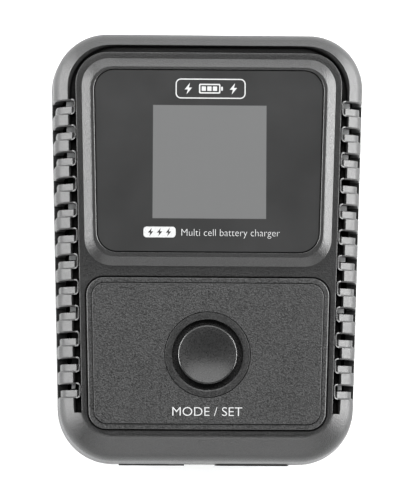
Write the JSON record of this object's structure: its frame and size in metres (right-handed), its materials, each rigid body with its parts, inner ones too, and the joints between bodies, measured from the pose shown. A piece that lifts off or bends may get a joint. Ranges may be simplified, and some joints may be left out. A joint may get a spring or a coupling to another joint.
{
  "type": "balance battery charger",
  "caption": "Compact mains balance charger for model battery packs: dark vented case with display window, round push button, mains inlet at one end, output and balance sockets at the other.",
  "frame": {"origin": "middle of the footprint, on the resting plane under the rubber feet", "axes": "+X to the right, +Y towards the display end, +Z out of the front face"},
  "size_m": [0.071, 0.0978, 0.0347],
  "materials": {
    "case_plastic": "fine moulded texture",
    "panel_plastic": "fine spark-eroded texture",
    "window_plastic": "polished, printed on the back",
    "adhesive": "black foam tape",
    "button_plastic": "satin",
    "rubber": "matt",
    "steel_screw": "black zinc",
    "board": "green solder mask",
    "display_glass": "polarised display face",
    "white_plastic": "moulded",
    "black_plastic": "moulded",
    "amber_film": "polyimide film",
    "chip_plastic": "moulded epoxy",
    "steel_sheet": "stamped",
    "brass_plated": "gold plated",
    "nickel": "nickel plated brass",
    "aluminium": "folded sheet",
    "ferrite": "sintered",
    "copper": "enamelled copper wire",
    "tape_yellow": "polyester tape",
    "cap_sleeve": "shrink sleeve",
    "fuse_body": "moulded",
    "varistor_coat": "dipped epoxy",
    "film_cap": "moulded box"
  },
  "bodies": {
    "case": {"balance_resistors": "chip_plastic", "balance_socket_housing": "black_plastic", "balance_socket_pins": "nickel", "bridge_rectifier": "chip_plastic", "bulk_capacitor": "cap_sleeve", "button_panel": "panel_plastic", "button_ring": "button_plastic", "buzzer": "black_plastic", "case_screws": "steel_screw", "choke_core": "ferrite", "choke_windings": "copper", "control_board": "board", "control_board_screws": "steel_screw", "control_chips": "chip_plastic", "display_window": "window_plastic", "front_shell": "case_plastic", "heatsink_left": "aluminium", "heatsink_right": "aluminium", "interference_capacitor": "film_cap", "lcd_backlight": "white_plastic", "lcd_connector": "white_plastic", "lcd_flex": "amber_film", "lcd_holder": "black_plastic", "lcd_panel": "display_glass", "link_pins": "black_plastic", "link_socket": "black_plastic", "mains_fuse": "fuse_body", "mains_inlet_housing": "black_plastic", "mains_inlet_pins": "nickel", "output_capacitors": "cap_sleeve", "output_socket_housing": "black_plastic", "output_socket_pins": "brass_plated", "power_board": "board", "power_board_screws": "steel_screw", "power_inductor": "ferrite", "power_transistors": "chip_plastic", "rear_shell": "case_plastic", "rubber_feet": "rubber", "surge_varistor": "varistor_coat", "switch_base": "black_plastic", "switch_cover": "steel_sheet", "switch_dome": "steel_sheet", "transformer_bobbin": "black_plastic", "transformer_core": "ferrite", "transformer_winding": "tape_yellow", "transistor_screws": "steel_screw", "window_adhesive": "adhesive"},
    "button": {"button_cap": "button_plastic"},
    "plunger": {"switch_plunger": "black_plastic"}
  },
  "joints": [
    {"name": "button_press", "type": "slide", "parent": "case", "child": "button", "axis": [0, 0, -1], "range_m": [0, 0.0005], "stiffness_N_per_m": 1200, "springref_m": -0.0002},
    {"name": "plunger_press", "type": "slide", "parent": "case", "child": "plunger", "axis": [0, 0, -1], "range_m": [0, 0.0006], "deforming": ["switch_dome"]}
  ],
  "couplings": [
    {"joint": "plunger_press", "follows": "button_press", "ratio": 1}
  ]
}
